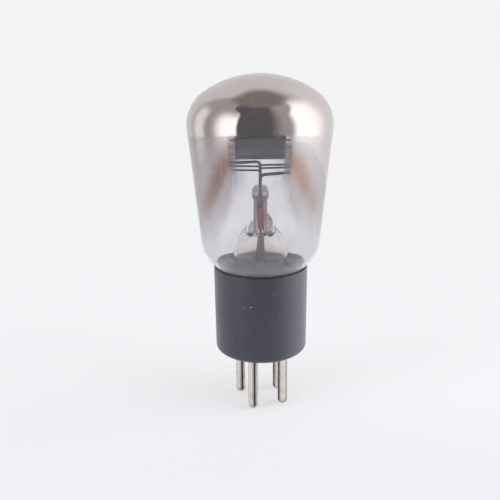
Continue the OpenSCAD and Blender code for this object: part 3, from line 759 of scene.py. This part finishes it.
# where the haze lies: heights and places in metres, turns from the front in radians
hazeMarks = {
    "mirrorEdge": (-0.0004, 0.0005), "back": (-0.004, 0.004), "right": (0.0, 0.012),
    "window": (0.055, 0.073, 0.75, 0.40), "windowEdge": (0.066, 0.080, 0.10, 0.035),
    "fading": (0.054, 0.080), "fadesLower": (0.5, 1.2), "thin": (0.20, 0.45),
    "sides": (1.15, 1.5, 1.0, 0.6),
    "brown": ((-0.20, -0.02), (0.02, 0.28)), "brownTurn": 0.58, "brownSlant": 30,
    "brownTop": 0.080, "brownRows": ((0.062, 0.071), (0.083, 0.092)),
    "rim": ((0.30, 0.35), (0.39, 0.47)), "rimRows": ((0.074, 0.084), (0.0885, 0.0905)),
}


def makeFilm():
    side = bulbSide(bulb["wall"] + film["gap"])
    kept = [point for point in side if point[1] > film["lowest"]]
    return turnedPiece("getterFilm", kept, film["steps"])


def paintFilm(made):
    paint = Paint("getterFilmPaint", IOR=1.5)
    x, y, z = paint.parts(paint.place())
    around = abs(x).turnOver(abs(y))
    streaks = paint.noise(1.0, 4.0, 0.6, paint.stretched(film["streaks"]))
    clouds = paint.noise(1.0, 3.0, 0.55, paint.stretched(film["clouds"]))
    slope = math.tan(math.radians(film["slope"]))
    edge = z + y * slope - film["edge"] * mm
    mirror = paint.band(
        edge + (clouds - 0.5) * (film["wavyEdge"] * mm), *hazeMarks["mirrorEdge"])
    # the haze leaves a clear window at the front and back that opens out lower down
    back = paint.band(y, *hazeMarks["back"])
    onRight = paint.band(x, *hazeMarks["right"])
    window = paint.band(z, *hazeMarks["window"]) - 0.08 * back
    soft = paint.band(z, *hazeMarks["windowEdge"]) + 0.2 * back
    haze = paint.band((around + (clouds - 0.5) * 0.06 - window) / soft, -0.8, 1.2)
    lower = 0.006 * paint.band(around, *hazeMarks["fadesLower"])
    fading = paint.band(z + (clouds - 0.5) * 0.008 + lower, *hazeMarks["fading"])
    inner = paint.band(around - window, *hazeMarks["thin"], 1.0, 0.0) * (1 - back)
    thinner = film["thinnerRight"] * onRight + film["thinnerBack"] * back
    thickness = film["depth"] + film["depthInside"] * inner - thinner * (1 - inner)
    thickness = haze * fading * (thickness + (streaks - 0.5) * film["streaky"])
    thickness = thickness * paint.band(around, *hazeMarks["sides"])
    slant = hazeMarks["brownSlant"] * (hazeMarks["brownTop"] - z)
    brown = paint.within(around - hazeMarks["brownTurn"] - slant, *hazeMarks["brown"])
    brown = brown * paint.within(z, *hazeMarks["brownRows"]) * (0.75 + 0.5 * clouds)
    stain = paint.mixed(onRight, film["brownLeft"], film["brownRight"])
    plain = paint.mixed(onRight, film["plainLeft"], film["plainRight"])
    tone = paint.mixed(brown, plain, stain)
    # along the window's edges, beside the anode's ends, the film is painted darker and denser
    rim = paint.within(around, *hazeMarks["rim"]) * (1 - back)
    rim = rim * paint.within(z, *hazeMarks["rimRows"]) * (0.75 + 0.25 * onRight)
    thickness = thickness + film["darkEdgeDepth"] * rim * (1 - thickness)
    tone = paint.mixed(film["darkEdgeTone"] * rim, tone, film["darkEdge"])
    paint.set(
        Base_Color=paint.mixed(mirror, tone, film["mirror"]),
        Metallic=film["hazeMetal"] + (1 - film["hazeMetal"]) * mirror,
        Roughness=film["hazeRough"] + (film["mirrorRough"] - film["hazeRough"]) * mirror,
        Alpha=(mirror + thickness * (1 - mirror)).clamped(),
    )
    made.data.materials.append(paint.material)


getterFilm = makeFilm()
paintFilm(getterFilm)
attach(getterFilm, "root")
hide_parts("getter_mirror")
print("getter film made")


# moulded base; its scratches are given as place across, height, half length in
# millimetres, slope in degrees and strength, the rest in metres
base = {
    "dark": (0.011, 0.011, 0.026), "worn": (0.024, 0.023, 0.044),
    # painted sheen: the paler colour on the base's right side and, on the next line, where it lies
    "paintedSheen": (0.085, 0.082, 0.105), "dust": (0.55, 0.55, 0.58), "coat": 0.40,
    "paintedSheenFrom": (0.003, 0.0145), "paintedSheenBack": (-0.004, 0.008),
    "clouds": (90.0, 4.0, 0.6), "scuffs": (900.0, 900.0, 70.0), "specks": (2600.0, 1.0),
    "speckShows": (0.73, 0.79), "speckDust": 0.35, "roughness": (0.34, 0.16, 0.18),
    "bump": (0.12, 0.0004), "scratchWidth": (0.00003, 0.00011),
    "scratches": (
        (-3.1, 38.0, 0.60, 28, 0.60), (-5.1, 37.7, 0.35, 8, 0.30), (4.0, 42.3, 0.35, -70, 0.40),
        (2.5, 33.0, 0.40, 30, 0.25), (3.6, 33.9, 0.30, 35, 0.20), (-8.8, 25.2, 0.20, 60, 0.25),
    ),
}
# the cement collar on the rim, and the cement inside it, painted pale as painted light that
# reaches it through the glass
cement = {
    "inside": (0.0133, 0.0138), "collar": ((0.014, 0.011, 0.012), (0.060, 0.034, 0.029)),
    "paintedLightInside": ((0.56, 0.54, 0.62), (0.78, 0.76, 0.84)), "grain": (0.20, 0.16, 0.14),
    "grains": (1500.0, 4.0, 0.65), "crust": (420.0, 3.0), "bump": (0.6, 0.0005),
}


def scratched(paint, x, z):
    # every scratch of the base, each fading out along its length and width
    marks = 0.0
    for across, height, half, slope, strength in base["scratches"]:
        lean = math.radians(slope)
        u, v = x - across * mm, z - height * mm
        ahead = abs(u * math.cos(lean) + v * math.sin(lean))
        beside = abs(v * math.cos(lean) - u * math.sin(lean))
        long = paint.band(ahead, 0.7 * half * mm, half * mm, 1.0, 0.0)
        marks = marks + strength * long * paint.band(beside, *base["scratchWidth"], 1.0, 0.0)
    return marks


def paintBase():
    paint = Paint("baseMoulding", IOR=1.58, Coat_Roughness=0.22, Coat_IOR=1.6)
    x, y, z = paint.parts(paint.place())
    clouds = paint.noise(*base["clouds"])
    scuffs = paint.noise(1.0, 5.0, 0.7, paint.stretched(base["scuffs"]))
    specks = paint.noise(*base["specks"])
    colour = paint.mixed(clouds, base["dark"], base["worn"])
    # painted sheen: the base's right side is painted paler where the light falls
    paintedSheen = paint.band(x, *base["paintedSheenFrom"]) * paint.band(y, *base["paintedSheenBack"], 1.0, 0.0)
    colour = paint.mixed(paintedSheen * (0.85 + 0.3 * clouds), colour, base["paintedSheen"])
    front = paint.band(y, -0.004, 0.0, 1.0, 0.0)
    dust = base["speckDust"] * paint.band(specks, *base["speckShows"])
    dust = dust + front * scratched(paint, x, z)
    plain, cloudy, scuffed = base["roughness"]
    paint.set(
        Base_Color=paint.mixed(dust.clamped(), colour, base["dust"]),
        Roughness=plain + cloudy * clouds + scuffed * paint.band(scuffs, 0.55, 0.75),
        Coat_Weight=base["coat"] * paint.band(clouds, 0.2, 0.7, 1.0, 0.7),
    )
    paint.bumped(scuffs * 0.5 + specks * 0.5, *base["bump"])
    dress(paint, "base_shell")


def paintCement():
    paint = Paint("cement", Roughness=0.8)
    x, y = paint.parts(paint.place())[:2]
    inside = paint.band((x * x + y * y).root(), *cement["inside"], 1.0, 0.0)
    grains = paint.noise(*cement["grains"])
    crust = paint.noise(*cement["crust"])
    collar = paint.mixed(crust, *cement["collar"])
    collar = paint.mixed(paint.band(grains, 0.62, 0.72), collar, cement["grain"])
    # painted light: the cement inside the collar is painted pale
    paint.set(Base_Color=paint.mixed(inside, collar, paint.mixed(crust, *cement["paintedLightInside"])))
    paint.bumped(grains, *cement["bump"])
    dress(paint, "cement_ring")


paintBase()
paintCement()
print("base and cement painted")


# nickel pins: their radius in metres, the direction that each seam faces in degrees, and
# how dull each kind of tarnish and the painted shade down one side leave them
pins = {
    "radius": 0.0016, "clean": (0.78, 0.73, 0.68), "tarnishAndShade": (0.27, 0.21, 0.18),
    "seamDull": 0.75, "sideShade": 0.55, "noseDull": 0.5, "stainDull": 0.35,
    "nose": (0.0008, 0.0026), "stains": (520.0, 4.0, 0.6), "drawn": (5200.0, 5200.0, 120.0),
    "roughness": (0.14, 0.16, 0.12), "bump": (0.10, 0.0002),
    "seams": {"pin_anode": -71, "pin_grid": -141, "pin_filament_a": -71, "pin_filament_b": -141},
}


def paintPin(name, seam):
    paint = Paint(name + "Nickel", Metallic=1.0)
    low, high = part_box(name)
    x, y, z = paint.parts(paint.place())
    stain = paint.noise(*pins["stains"])
    drawn = paint.noise(1.0, 3.0, 0.6, paint.stretched(pins["drawn"]))
    # tarnish lies along the seam and on the nose; the side away from the light is painted darker
    # as painted shade
    acrossX, acrossY = x - (low[0] + high[0]) / 2, y - (low[1] + high[1]) / 2
    toward = acrossX * math.cos(math.radians(seam)) + acrossY * math.sin(math.radians(seam))
    toward = toward * (1 / pins["radius"])
    dullingAndShade = pins["seamDull"] * paint.band(toward, 0.80, 1.0)
    dullingAndShade = dullingAndShade + pins["sideShade"] * paint.band(toward, -0.2, 0.25, 1.0, 0.0)
    dullingAndShade = dullingAndShade + pins["noseDull"] * paint.band(z, *pins["nose"], 1.0, 0.0)
    dullingAndShade = dullingAndShade + pins["stainDull"] * paint.band(stain, 0.50, 0.72)
    plain, stained, ridged = pins["roughness"]
    paint.set(
        Base_Color=paint.mixed(dullingAndShade.clamped(), pins["clean"], pins["tarnishAndShade"]),
        Roughness=plain + stained * stain + ridged * drawn,
    )
    paint.bumped(drawn + 0.4 * stain, *pins["bump"])
    dress(paint, name)


# the anode's sheet, painted lit where it bulges, with painted highlights along its end edges;
# places in metres
anode = {
    "dark": (0.15, 0.13, 0.155), "bright": (0.60, 0.54, 0.57), "edgeGlint": (0.90, 0.88, 0.90),
    "lit": (0.0850, 0.0885), "edgeGlintWidth": (0.00040, 0.00020),
    "clouds": (60.0, 240.0, 240.0), "roughness": (0.38, 0.25), "bump": (0.08, 0.0005),
}


def paintAnode():
    paint = Paint("anodeSheet", Metallic=0.85)
    x, z = paint.parts(paint.place())[::2]
    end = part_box("anode")[1][0]
    wide, narrow = anode["edgeGlintWidth"]
    plain, cloudy = anode["roughness"]
    cloud = paint.noise(1.0, 4.0, 0.6, paint.stretched(anode["clouds"]))
    light = paint.band(cloud, 0.3, 0.7, -0.2, 0.25) + paint.band(z, *anode["lit"])
    colour = paint.mixed(light.clamped(), anode["dark"], anode["bright"])
    paint.set(
        # painted highlight along the sheet's end edges
        Base_Color=paint.mixed(paint.band(abs(x), end - wide, end - narrow), colour, anode["edgeGlint"]),
        Roughness=plain + cloudy * cloud,
    )
    paint.bumped(cloud, *anode["bump"])
    dress(paint, "anode")


# grey solder, red seals, copper leads and the wires: how metallic each is, its grain,
# its two tones, and its roughness with what the grain adds
metals = {
    "solder": {
        "metallic": 0.8, "grain": (1100.0, 3.0, 0.6), "roughness": (0.35, 0.3),
        "tones": ((0.22, 0.22, 0.23), (0.52, 0.52, 0.53)), "bump": (0.6, 0.0004),
        "nodes": ("solder_anode", "solder_grid", "solder_filament_a", "solder_filament_b"),
    },
    "sealWire": {
        "metallic": 0.35, "grain": (900.0, 3.0), "roughness": (0.45, 0.2),
        "tones": ((0.74, 0.07, 0.11), (0.86, 0.20, 0.23)),
        "nodes": ("seal_anode", "seal_grid", "seal_filament_a", "seal_filament_b"),
    },
    "leadCopper": {
        "metallic": 0.9, "grain": (700.0, 3.0), "roughness": (0.4, 0.2),
        "tones": ((0.085, 0.07, 0.09), (0.20, 0.12, 0.11)),
        "nodes": ("lead_anode", "lead_grid", "lead_filament_a", "lead_filament_b"),
    },
    "supportNickel": {
        "metallic": 0.9, "grain": (600.0, 4.0, 0.6), "roughness": (0.32, 0.25),
        "tones": ((0.085, 0.08, 0.085), (0.20, 0.19, 0.20)),
        "nodes": (
            "anode_support_right", "anode_support_left", "grid_support_right",
            "grid_support_left", "filament_support_left", "filament_support_right",
            "getter_cup",
        ),
    },
    "gridWire": {
        "metallic": 0.95, "grain": (800.0, 2.0), "roughness": (0.25, 0.2),
        "tones": ((0.30, 0.29, 0.28), (0.50, 0.48, 0.46)),
        "nodes": ("grid_winding", "grid_rod_lower", "grid_rod_upper"),
    },
    "filamentWire": {
        "metallic": 0.2, "grain": (1500.0, 3.0), "roughness": (0.6, 0.2),
        "tones": ((0.60, 0.58, 0.54), (0.78, 0.76, 0.72)), "nodes": ("filament",),
    },
}


def paintMetal(name, metal):
    paint = Paint(name, Metallic=metal["metallic"])
    grain = paint.noise(*metal["grain"])
    least, added = metal["roughness"]
    paint.set(Base_Color=paint.mixed(grain, *metal["tones"]), Roughness=least + added * grain)
    if "bump" in metal:
        paint.bumped(grain, *metal["bump"])
    dress(paint, *metal["nodes"])


for name, seam in pins["seams"].items():
    paintPin(name, seam)
paintAnode()
for name, metal in metals.items():
    paintMetal(name, metal)
print("metals painted")
